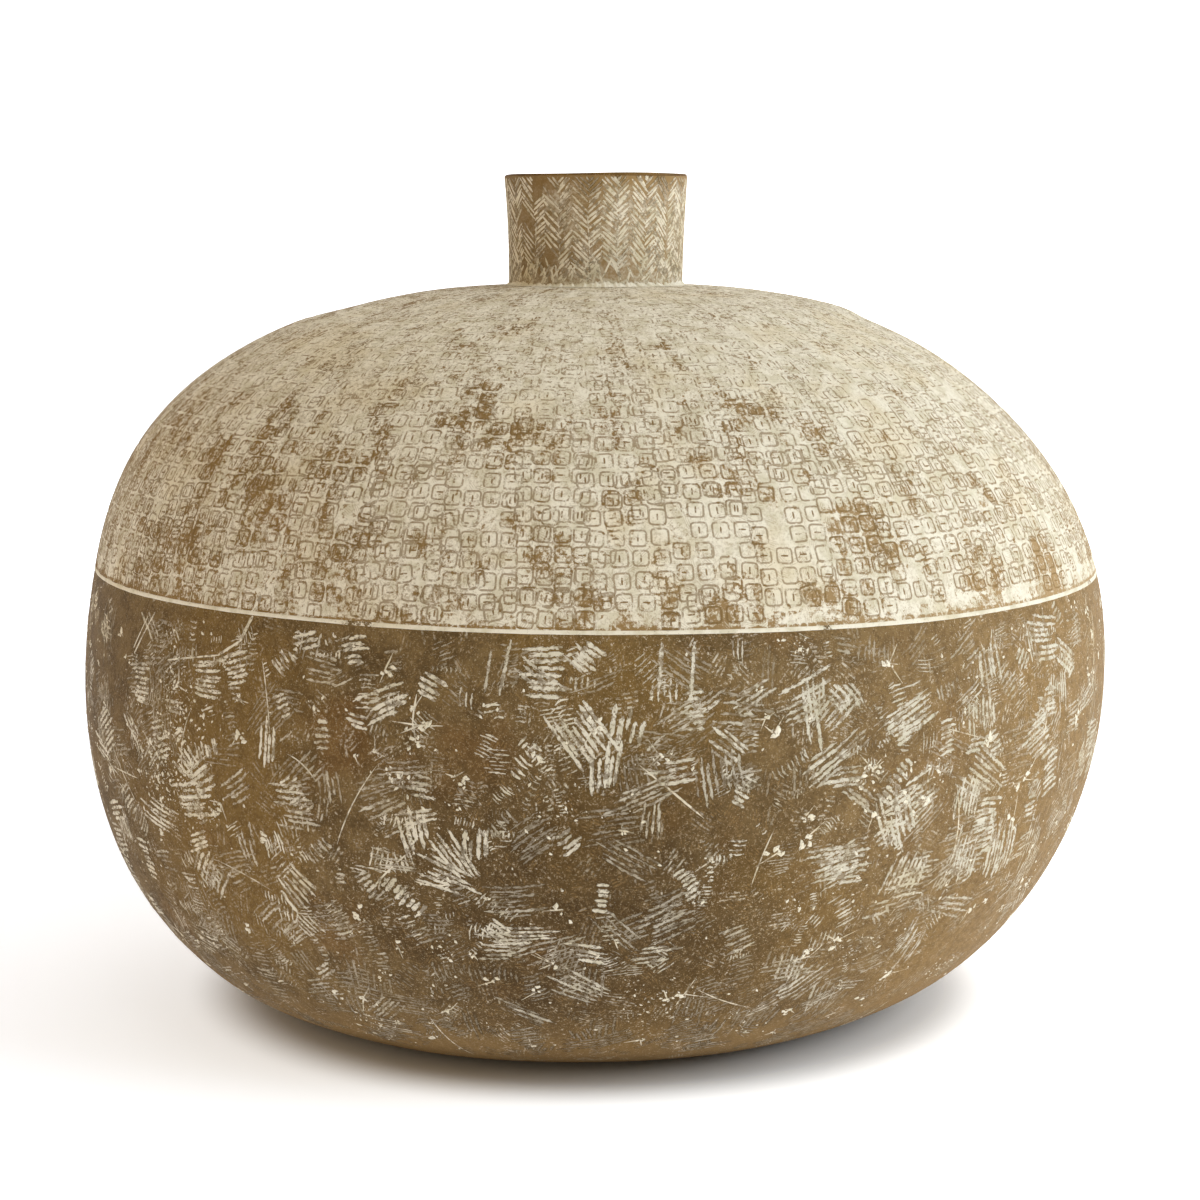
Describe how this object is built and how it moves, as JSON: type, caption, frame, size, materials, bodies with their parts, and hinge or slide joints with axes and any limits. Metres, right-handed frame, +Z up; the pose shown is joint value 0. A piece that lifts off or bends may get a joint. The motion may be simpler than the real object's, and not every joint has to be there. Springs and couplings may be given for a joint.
{
  "type": "stoneware vessel",
  "caption": "Squat round hand-built stoneware vessel with a short neck, stamped slip-filled dome and combed lower body; stands on a flat foot and holds dry stems or display.",
  "frame": {"origin": "centre of the widest part, projected on the ground under the foot", "axes": "+Z up through the neck, -Y the side that faces the viewer, +X to the viewer's right"},
  "size_m": [0.4799, 0.48, 0.3855],
  "materials": {
    "combed_clay": "matt brown stoneware with pale slip in comb marks",
    "stamped_clay": "matt brown stoneware with pale slip rubbed into stamped squares",
    "collar_clay": "matt brown stoneware with pale slip in a herringbone of cut strokes",
    "pale_slip": "matt cream slip",
    "dark_clay": "bare matt brown stoneware"
  },
  "bodies": {
    "root": {"base_slab": "dark_clay", "lower_wall": "combed_clay", "upper_wall": "stamped_clay", "neck_collar": "collar_clay", "belt_slip_inlay": "pale_slip", "neck_fillet": "pale_slip", "belt_seam_coil": "dark_clay", "base_seam_coil": "dark_clay"}
  },
  "joints": []
}
